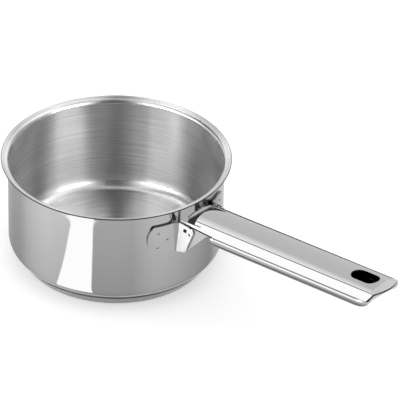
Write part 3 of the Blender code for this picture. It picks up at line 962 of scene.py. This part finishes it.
class MILKPAN_OT_top_sheet(bpy.types.Operator):
    """Extrudes the handle's top sheet, bends its tip down, pulls out its cheeks and trims it"""

    bl_idname = "milkpan.top_sheet"
    bl_label = "Handle top"

    def execute(self, context):
        handle = settings().handle
        half = bevel_half()
        top_half = handle.top_width / 2
        cheek_depth = handle.level + handle.root_x * math.tan(handle.slope) - bracket_foot()
        nose_x = web_face() + seat_gap + seat_gap - handle.cheek_nose_reach
        front = along_of(nose_x) - cheek_depth * math.tan(handle.slope) - cut_overrun
        nose_end = along_of(handle.root_x) + handle.relief_length / 2
        cheek_end = along_of(web_face() + handle.cheek_foot_length + handle.cheek_run + handle.cheek_blend)
        droop_start = along_of(handle.tip_x) - handle.droop_length
        droop_turn = (handle.droop_length + cut_overrun) / handle.droop_radius
        foot = seam_level() - cut_overrun
        places = [-top_half + handle.top_width * i / crown_steps for i in range(crown_steps + 1)]
        crown = [(across, crown_at(across)) for across in places]
        side = [(-half, foot), (-half, -handle.bevel_down)]
        corners = side + crown + [(-across, up) for across, up in side[::-1]]
        radii = [handle.bevel_edge_radius, handle.top_edge_radius] + [0] * (len(crown) - 2)
        radii += [handle.top_edge_radius, handle.bevel_edge_radius]
        outline = rounded(corners, radii, ridge_steps)
        sheet = draw_lines("handle_top", [Vector((front, across, up)) for across, up in outline])
        stops = (front, nose_end, cheek_end, droop_start - cut_overrun, droop_start)
        for before, after in zip(stops, stops[1:]):
            extrude((after - before, 0, 0))
        centre = (droop_start, 0, -handle.droop_radius)
        bpy.ops.mesh.spin(steps=bend_steps, angle=-droop_turn, center=centre, axis=(0, 1, 0))
        edge_at = foot + merge_distance
        cheek_at = cheek_end + merge_distance

        def on_cheek_edge(edge):
            return all(point.co.z < edge_at and point.co.x < cheek_at for point in edge.verts)

        select_where(sheet, on_cheek_edge, "EDGE")
        extrude((0, 0, -cheek_depth))
        taper_root_bevel(sheet, nose_end, front, cheek_end, foot)
        face_up(sheet)
        thicken(sheet, handle.sheet)
        settle(sheet, handle_matrix())
        combine(sheet, slot_cutter(), "DIFFERENCE")
        combine(sheet, plan_trim(), "INTERSECT")
        combine(sheet, side_trim(), "INTERSECT")
        finishes = ("Polished sheet", "Cut edge", "Mill finish", "Satin sheet", "Satin tip")
        hand_over(sheet, "handle_top_shell", finishes)
        finish_top_sheet(sheet)
        return {"FINISHED"}


def face_up(sheet):
    """In edit mode, turns a single sheet's faces to the side on which most of them look up, and leaves it."""
    bpy.ops.mesh.select_mode(type="FACE")
    merge_points()
    work = bmesh.from_edit_mesh(sheet.data)
    work.normal_update()
    if sum(face.normal.z * face.calc_area() for face in work.faces) < 0:
        bpy.ops.mesh.flip_normals()
    bpy.ops.object.mode_set(mode="OBJECT")


def trough_section(width_share, side_start):
    """Points (across, depth share) of the trough's outer face, from the -Y seam round to the +Y seam."""
    handle = settings().handle
    start = math.sin(side_start)
    flat = (bevel_half() + handle.trough_overhang - handle.trough_side_radius) * width_share
    turn = (side_start + math.pi / 2) / corner_steps
    side = []
    for i in range(corner_steps + 1):
        place = side_start - turn * i
        depth = (start - math.sin(place)) / (start + 1)
        side.append((flat + handle.trough_side_radius * math.cos(place), depth))
    near = [(-across, depth) for across, depth in side]
    bottom = [(flat * i / flat_steps, 1) for i in range(1 - flat_steps, flat_steps)]
    return near + bottom + side[::-1]


def trough_row(along, depth_share, nose_share):
    """One cross-section. nose_share grows from 0 to 1 as the nose closes under the top sheet."""
    handle = settings().handle
    top_half = handle.top_width / 2
    narrowing = 1 - nose_share * handle.trough_nose_inset / bevel_half()
    side_start = handle.trough_side_start * (1 - nose_share) * depth_share
    seam = seam_level() - seat_gap
    slant = handle.bevel_down / handle.bevel_out
    stand_off = (handle.sheet + seat_gap) * math.hypot(handle.bevel_down, handle.bevel_out) / handle.bevel_out
    row = []
    for across, share_down in trough_section(narrowing, side_start):
        roof = min(0.0, (top_half - abs(across)) * slant) + max(0.0, crown_at(across))
        level = seam + (min(roof - stand_off, 0) - seam) * nose_share
        row.append(handle_point(along, across, level - handle.trough_depth * share_down * depth_share))
    return row


class MILKPAN_OT_trough(bpy.types.Operator):
    """Shapes the trough under the handle, with its rounded front and its rising nose"""

    bl_idname = "milkpan.trough"
    bl_label = "Handle underside"

    def execute(self, context):
        handle = settings().handle
        start = along_of(handle.trough_start, seam_level())
        front_end = start + handle.trough_front
        nose_end = along_of(handle.tip_x) - handle.trough_tip_inset
        rows = []
        for i in range(row_steps):
            turn = math.pi / 2 * i / row_steps
            rows.append(trough_row(start + handle.trough_front * (1 - math.cos(turn)), math.sin(turn), 0))
        for along in (front_end, front_end + cut_overrun, nose_end - handle.trough_nose - cut_overrun):
            rows.append(trough_row(along, 1, 0))
        for i in range(row_steps + 1):
            turn = math.pi / 2 * i / row_steps
            along = nose_end - handle.trough_nose * (1 - math.sin(turn))
            rows.append(trough_row(along, math.cos(turn), 1 - math.cos(turn)))
        trough = grid_from_rows("handle_trough", [row[::-1] for row in rows])
        thicken(trough, handle.trough_sheet)
        settle(trough, handle_matrix())
        combine(trough, slot_cutter(), "DIFFERENCE")
        hand_over(trough, "handle_bottom_shell", ("Polished trough", "Cut edge"))
        # Painted shade: the slot's wall is painted near black
        paint(trough, "Cut edge", on_slot_wall)
        return {"FINISHED"}


# Bracket

# Places of the spot welds, as shares of the wing's or ear's reach and of the bracket's height
wing_welds = [(0.63, 0.77), (0.31, 0.50), (0.65, 0.27)]
ear_welds = [(0.44, 0.885), (0.80, 0.82)]
# An electrode's sides and how narrow its nose is, and how near a weld's middle its mark has the dark finish
electrode_sides = 20
electrode_nose = 0.6
mark_share = 0.8
# How far the faces of a wing's marks look outwards at the most, to have that finish
mark_wall_look = 0.95
# How far up the heads of the ears look, at the least
ear_top_look = 0.8


def ear_outer():
    return bevel_half() + seat_gap + settings().bracket.sheet


def bracket_radius():
    """Radius of the wings' outer face."""
    return settings().pan.outer_radius + seat_gap + settings().bracket.sheet


def ear_fold(share_up):
    """Centre of the bend between wing and ear, and its radius, at a share of the bracket's height."""
    bracket = settings().bracket
    radius = bracket.bend_foot + (bracket.bend_head - bracket.bend_foot) * share_up
    across = ear_outer() + radius
    return math.sqrt((bracket_radius() + radius) ** 2 - across**2), across, radius


def ear_columns():
    """Where the ear's points lie, as shares of its length, and how far its rounded head has dropped there."""
    bracket = settings().bracket
    straight = 1 - bracket.ear_corner / bracket.ear_head
    columns = [(straight / 4, 0), (straight / 2, 0), (straight, 0)]
    for i in range(1, bend_steps + 1):
        turn = math.pi / 2 * i / bend_steps
        drop = bracket.ear_corner * (1 - math.cos(turn))
        columns.append((straight + (1 - straight) * math.sin(turn), drop))
    return columns


def bracket_row(share_up):
    """The bracket's outer face at one share of its height, from the wing's end to the ear's free edge."""
    bracket = settings().bracket
    out, across, radius = ear_fold(share_up)
    fold = math.atan2(across, out)
    wing_start = math.asin(ear_outer() / bracket_radius())
    bulge = bracket.wing_bulge * (1 - (2 * share_up - 1) ** 2)
    wing_end = wing_start + (bracket.wing_reach + bulge) / bracket_radius()
    foot = bracket_foot()
    head = foot + bracket.height
    row = []
    for i in range(row_steps + 1):
        turn = wing_end + (fold - wing_end) * i / row_steps
        rise = bracket.wing_foot_rise * (1 - i / row_steps)
        row.append((polar(bracket_radius(), turn), foot + rise, head))
    bend = arc((out, across), radius, fold + math.pi, math.pi * 1.5, fold_steps)
    for i in range(1, fold_steps + 1):
        row.append((bend[i], foot, head + bracket.ear_head_rise * i / fold_steps))
    ear_length = bracket.ear_foot + (bracket.ear_head - bracket.ear_foot) * share_up
    for length_share, drop in ear_columns():
        point = Vector((out + ear_length * length_share, ear_outer()))
        row.append((point, foot + bracket.ear_foot_rise * length_share, head + bracket.ear_head_rise - drop))
    return [(point.x, point.y, low + (top - low) * share_up) for point, low, top in row]


def make_lug(name, side):
    """A wing with its ear, on the side of the handle that side gives: 1 for +Y, -1 for -Y."""
    rows = []
    for i in range(corner_steps + 1):
        row = [Vector((x, side * y, z)) for x, y, z in bracket_row(i / corner_steps)]
        rows.append(row if side < 0 else row[::-1])
    lug = grid_from_rows(name, rows)
    thicken(lug, settings().bracket.sheet)
    return lug


def make_web():
    """The plate that spans the handle's root between the ears."""
    bracket = settings().bracket
    handle = settings().handle
    foot = bracket_foot() + bracket.height - bracket.web_height
    shoulder = foot + bracket.web_shoulder
    head_half = bracket.web_head_width / 2
    end = ear_outer() - bracket.sheet / 2
    crest = top_over_web() + handle.crown - handle.sheet - bracket.web_arch
    step = head_half + bracket.web_arch
    outline = [(-end, foot), (end, foot), (end, shoulder), (step, shoulder)]
    for i in range(arch_steps + 1):
        across = head_half - bracket.web_head_width * i / arch_steps
        outline.append((across, crest + bracket.web_arch * (1 - (across / head_half) ** 2)))
    outline += [(-step, shoulder), (-end, shoulder)]
    return prism("bracket", outline, lambda a, b, c: (c, a, b), web_face() - bracket.sheet, web_face())


def weld_places():
    """Middle and direction of each spot weld's mark, on both wings and both ears."""
    bracket = settings().bracket
    start = math.asin(ear_outer() / bracket_radius())
    places = []
    for side in (-1, 1):
        for reach_share, height_share in wing_welds:
            turn = start + (bracket.wing_reach + bracket.wing_bulge) * reach_share / bracket_radius()
            direction = Vector((math.cos(turn), side * math.sin(turn), 0))
            level = Vector((0, 0, bracket_foot() + bracket.height * height_share))
            places.append((direction * bracket_radius() + level, direction))
        for length_share, height_share in ear_welds:
            x = ear_fold(height_share)[0] + bracket.ear_head * length_share
            level = bracket_foot() + bracket.height * height_share
            places.append((Vector((x, side * ear_outer(), level)), Vector((0, side, 0))))
    return places


def weld_tool():
    """One round-nosed electrode per weld, joined to one cutter."""
    bracket = settings().bracket
    size = {"vertices": electrode_sides, "radius": bracket.weld_radius, "depth": 2 * bracket.weld_depth}
    rods = []
    for place, direction in weld_places():
        deselect_all()
        bpy.ops.mesh.primitive_cylinder_add(**size)
        rod = bpy.context.active_object
        bpy.ops.object.mode_set(mode="EDIT")
        select_where(rod, lambda face: face.normal.z < -nearly, "FACE")
        bpy.ops.transform.resize(value=(electrode_nose, electrode_nose, 1))
        bpy.ops.object.mode_set(mode="OBJECT")
        settle(rod, Matrix.Translation(place) @ direction.to_track_quat("Z", "Y").to_matrix().to_4x4())
        rods.append(rod)
    pick(rods[0])
    for rod in rods:
        rod.select_set(True)
    bpy.ops.object.join()
    return rods[0]


class MILKPAN_OT_bracket(bpy.types.Operator):
    """Bends the bracket's wings and ears, joins them with the web and marks the spot welds"""

    bl_idname = "milkpan.bracket"
    bl_label = "Bracket"

    def execute(self, context):
        bracket = make_web()
        combine(bracket, make_lug("Near lug", -1), "UNION")
        combine(bracket, make_lug("Far lug", 1), "UNION")
        combine(bracket, weld_tool(), "DIFFERENCE")
        finishes = ("Polished sheet", "Cut edge", "Mill finish", "Satin sheet", "Tinted web")
        hand_over(bracket, "handle_bracket", finishes)
        sizes = settings().bracket
        inner = ear_outer() - sizes.sheet - merge_distance
        head = bracket_foot() + sizes.height / 2
        places = weld_places()
        mark = (sizes.weld_radius + merge_distance) * mark_share

        def within_bracket(centre, normal):
            return abs(centre.y) < inner and abs(normal.z) < halfway

        def on_ear(centre, normal):
            outer_face = abs(normal.y) > nearly or normal.x > partly and centre.x > ear_fold(1)[0]
            return outer_face and abs(centre.y) > inner and centre.x > ear_fold(0)[0]

        def on_web(centre, normal):
            return normal.x > mostly and abs(centre.y) < inner

        def on_top(centre, normal):
            return normal.z > ear_top_look and centre.z > head and centre.y < -inner

        def in_weld(centre, normal):
            near = [way for place, way in places if (centre - place).length < mark]
            return any(way.x == 0 or abs(normal.dot(way)) < mark_wall_look for way in near)

        paint(bracket, "Mill finish", within_bracket)
        # Painted highlight on the ears
        paint(bracket, "Satin sheet", on_ear)
        # Painted shade on the web
        paint(bracket, "Tinted web", on_web)
        # Painted shade on the heads of the near wing and ear, for the shadow gap under the handle
        paint(bracket, "Cut edge", on_top)
        # The weld marks' own dark colour
        paint(bracket, "Cut edge", in_weld)
        return {"FINISHED"}


# Studio

camera_place = (1.163972, -1.165629, 1.128897)
camera_angles = (0.9870676, -0.0249172, 0.7675954)
camera_turn = math.radians(-45)
camera_lens = 270
camera_sensor = 36
camera_reach = 20
white = (1, 1, 1, 1)
floor_sides = 96
floor_card_level = 0.0012
strip_card_level = 0.0024
strip_steps = 8
# Places round the wall in degrees, and how bright the floor in front of each is in the metal
floor_stops = [
    (-138, 0.50), (-115, 0.52), (-106, 0.60), (-100, 0.80), (-94, 0.93), (-85, 1.04), (-78, 1.0), (-72, 0.97),
    (-58, 0.68), (-57, 0.66), (-36, 0.66), (-31, 0.76), (-24, 0.86), (-18, 0.86), (-3, 0.72), (7, 0.60),
    (12, 0.52), (17, 0.50), (23, 0.72), (52, 0.60),
]
# Distance from the wall, and how the floor's brightness changes there
floor_runs = [
    (0.0, 0.70), (0.004, 0.82), (0.012, 0.90), (0.030, 0.96), (0.060, 1.06), (0.090, 1.16), (0.110, 1.2),
    (0.160, 1.25),
]
# Distance from the wall, and the strip's two sides there, in degrees round the wall
strip_runs = [
    (0.004, -80.0, -57.7), (0.014, -78.0, -57.6), (0.030, -75.6, -57.5), (0.050, -73.0, -57.3),
    (0.069, -71.2, -57.1), (0.084, -69.9, -57.0), (0.090, -69.3, -56.9), (0.0945, -69.5, -56.8),
    (0.0975, -70.6, -56.5), (0.0995, -72.0, -55.9), (0.1015, -74.0, -54.8), (0.104, -77.5, -52.8),
]
# Name, turns and rises in degrees as seen from the pan, and the brightness at each turn: a number or the name
# of one of the studio's settings
sky_cards = [
    ("left_softbox", [-115, -104, -92, -79], [10, 24, 40], ["top_softbox"] * 4),
    ("left_top_softbox", [-115, -104, -92, -79], [41, 60, 84], ["grey_card", 1.2, 1.4, 1.0]),
    ("side_softbox", [-142, -134, -125, -116], [8, 20, 34], ["softbox"] * 4),
    ("right_softbox", [-11, 0, 12, 22], [10, 24, 40], ["top_softbox"] * 4),
    ("right_top_softbox", [-11, 0, 12, 22], [41, 60, 84], [1.0, 1.4, 1.2, "grey_card"]),
    ("front_flag", [-65, -50, -35, -19], [0.5, 40, 86], ["flag"] * 4),
    ("side_flag", [-142, -134, -125, -116], [34, 55, 80], ["grey_card"] * 4),
    ("right_flag", [23, 45, 65, 88], [5, 20, 38], ["grey_card"] * 4),
    ("right_corner_softbox", [23, 45, 65, 95], [39, 50, 64], [1.6] * 4),
    ("right_top_flag", [23, 45, 65, 88], [65, 72, 80], ["grey_card"] * 4),
    ("back_left_softbox", [100, 108, 116, 126], [57, 66, 76], [1.9] * 4),
    ("left_lip_softbox", [103, 110, 116, 122], [16, 24, 33], [1.5] * 4),
    ("back_softbox", [150, 156, 162, 169], [22, 40, 60], [1.1, 1.4, 1.7, 1.7]),
    ("back_flag", [170, 185, 200, 217.5], [22, 38, 55], ["flag"] * 4),
    ("back_corner_softbox", [178, 190, 204, 217.5], [55.5, 58, 60.5], ["softbox"] * 4),
    ("back_top_flag", [128, 138, 148, 158], [61, 70, 88], ["flag"] * 4),
    ("front_top_flag", [-79, -58, -33, -11], [58, 72, 87], ["flag"] * 4),
    ("zenith_flag", [88, 110, 140, 172], [78, 83, 89.5], ["flag"] * 4),
    ("back_top_softbox", [162, 175, 190, 205], [61, 70, 82], ["softbox"] * 4),
    ("horizon_flag", [118, 126, 134, 146], [0.1, 1.5, 3.0], ["flag"] * 4),
]
# The dark card behind the pan: its height, its places along, and rows across with how far each is shifted
far_edge_level = 0.0008
far_edge_places = (-0.02, 0.085, 0.19)
far_edge_rows = [(0.10, 0.0), (0.30, -0.156), (0.80, -0.547), (1.30, -0.94)]
# The small upright card between the wall and the web
bracket_card_x = 0.0745
bracket_card_across = (-0.009, -0.002, 0.0045)
bracket_card_heights = (0.054, 0.061, 0.0675)
bracket_card_light = 0.85


def bare_material(name):
    """A material without nodes."""
    material = bpy.data.materials.new(name)
    material.use_nodes = True
    material.node_tree.nodes.clear()
    return material


def glow(tree, strength):
    return add_node(tree, "Emission", {"Color": white, "Strength": strength}).outputs["Emission"]


def make_card_light():
    """Light of the strength that each point of its card carries."""
    tree = bare_material("Card light").node_tree
    level = add_node(tree, "Attribute", attribute_name="brightness").outputs["Fac"]
    add_node(tree, "OutputMaterial", {"Surface": glow(tree, level)})


def make_card(name, rows, levels):
    """A card that only the metal shows, from rows of points and the brightness at each of them."""
    card = grid_from_rows(name, rows)
    brightness = card.data.attributes.new("brightness", "FLOAT", "POINT")
    for spot, value in zip(brightness.data, [level for row in levels for level in row]):
        spot.value = value
    card.data.materials.append(bpy.data.materials["Card light"])
    card.visible_camera = False
    card.visible_diffuse = False
    card.visible_transmission = False
    card.visible_volume_scatter = False
    card.visible_shadow = False


def even_card(name, rows, light):
    make_card(name, rows, [[light] * len(rows[0])] * len(rows))


def sky_card(name, turns, rises, lights):
    """A card on a sphere round the pan, with one brightness for each turn."""
    studio = settings().studio
    levels = [getattr(studio, light) if isinstance(light, str) else light for light in lights]
    rows = []
    for rise in rises:
        reach = studio.card_distance * math.cos(math.radians(rise))
        height = studio.card_distance * math.sin(math.radians(rise))
        rows.append([Vector((*polar(reach, math.radians(turn)), height)) for turn in turns])
    make_card(name, rows, [levels] * len(rises))


def mirrored_place(turn, run, level):
    """A place that the camera sees in the wall at this turn, this far from the wall and at this height."""
    normal = math.radians(turn)
    point = polar(settings().pan.outer_radius, normal) + polar(run, 2 * normal - camera_turn)
    return Vector((point.x, point.y, level))


def floor_card():
    """A card just above the floor, which runs out from the wall the way that the wall mirrors it."""
    rows = []
    levels = []
    for run, dimming in floor_runs:
        rows.append([mirrored_place(turn, run, floor_card_level) for turn, level in floor_stops])
        levels.append([level * dimming for turn, level in floor_stops])
    make_card("floor_card", rows, levels)


def strip_card():
    """The long bright card that gives the wall its upright white strip."""
    rows = []
    for run, first, last in strip_runs:
        turns = [first + (last - first) * i / strip_steps for i in range(strip_steps + 1)]
        rows.append([mirrored_place(turn, run, strip_card_level) for turn in turns])
    even_card("strip_card", rows, settings().studio.softbox)


def far_edge_flag():
    """The dark card low behind the pan."""
    rows = [[Vector((x + shift, y, far_edge_level)) for x in far_edge_places] for y, shift in far_edge_rows]
    even_card("far_edge_flag", rows, settings().studio.flag)


def bracket_card():
    """The small card that lights the gap between the wall and the web."""
    rows = [[Vector((bracket_card_x, y, z)) for y in bracket_card_across] for z in bracket_card_heights]
    even_card("bracket_card", rows, bracket_card_light)


def make_floor():
    """A round pale floor that is white where nothing shades it."""
    studio = settings().studio
    deselect_all()
    bpy.ops.mesh.primitive_circle_add(vertices=floor_sides, radius=studio.floor_radius, fill_type="NGON")
    floor = named("floor")
    material = bare_material("Pale floor")
    tree = material.node_tree
    diffuse = add_node(tree, "BsdfDiffuse", {"Color": (*studio.floor_colour, 1)}).outputs["BSDF"]
    lift = math_of(tree, "MULTIPLY", seen_by_camera_or_metal(tree), studio.floor_lift)
    both = add_node(tree, "AddShader", {0: diffuse, 1: glow(tree, lift)}).outputs["Shader"]
    add_node(tree, "OutputMaterial", {"Surface": both})
    floor.data.materials.append(material)


def seen_by_camera_or_metal(tree):
    """1 for a ray from the camera, from metal or through glass, and 0 for light that falls on the object."""
    rays = add_node(tree, "LightPath").outputs
    first = math_of(tree, "MAXIMUM", rays["Is Camera Ray"], rays["Is Glossy Ray"])
    return math_of(tree, "MAXIMUM", first, rays["Is Transmission Ray"])


def make_surround():
    """A white surround."""
    world = bpy.data.worlds.new("Surround")
    bpy.context.scene.world = world
    world.use_nodes = True
    light = {"Color": white, "Strength": settings().studio.surround}
    wire(world.node_tree, world.node_tree.nodes["Background"], light)


def make_camera():
    """Looks down on the pan from the handle's side, from far away, with a long lens."""
    data = bpy.data.cameras.new("camera")
    data.lens = camera_lens
    data.sensor_width = camera_sensor
    data.clip_end = camera_reach
    camera = bpy.data.objects.new("camera", data)
    camera.location = camera_place
    camera.rotation_euler = camera_angles
    bpy.context.scene.collection.objects.link(camera)
    bpy.context.scene.camera = camera


class MILKPAN_OT_studio(bpy.types.Operator):
    """Sets up the floor, the surround, the cards and the camera"""

    bl_idname = "milkpan.studio"
    bl_label = "Studio"

    def execute(self, context):
        make_camera()
        make_surround()
        make_floor()
        make_card_light()
        floor_card()
        strip_card()
        for card in sky_cards:
            sky_card(*card)
        far_edge_flag()
        bracket_card()
        bpy.context.scene.view_settings.view_transform = "Standard"
        return {"FINISHED"}


class MILKPAN_PT_panel(bpy.types.Panel):
    """Lists the steps in the order in which they run"""

    bl_label = "Milk pan"
    bl_idname = "MILKPAN_PT_panel"
    bl_space_type = "VIEW_3D"
    bl_region_type = "UI"
    bl_category = "Milk pan"

    def draw(self, context):
        for operator in operators:
            self.layout.operator(operator.bl_idname)


groups = (PanSizes, BaseSizes, HandleSizes, BracketSizes, SteelLook, StudioLook, MilkPanSettings)
operators = (
    MILKPAN_OT_studio,
    MILKPAN_OT_finishes,
    MILKPAN_OT_body,
    MILKPAN_OT_base,
    MILKPAN_OT_bracket,
    MILKPAN_OT_top_sheet,
    MILKPAN_OT_trough,
)
classes = groups + operators + (MILKPAN_PT_panel,)


def register():
    for item in classes:
        bpy.utils.register_class(item)
    bpy.types.Scene.milk_pan = PointerProperty(type=MilkPanSettings)


def unregister():
    del bpy.types.Scene.milk_pan
    for item in reversed(classes):
        bpy.utils.unregister_class(item)


def main():
    register()
    bpy.ops.milkpan.studio()
    bpy.ops.milkpan.finishes()
    bpy.ops.milkpan.body()
    bpy.ops.milkpan.base()
    bpy.ops.milkpan.bracket()
    bpy.ops.milkpan.top_sheet()
    bpy.ops.milkpan.trough()


if __name__ == "__main__":
    main()
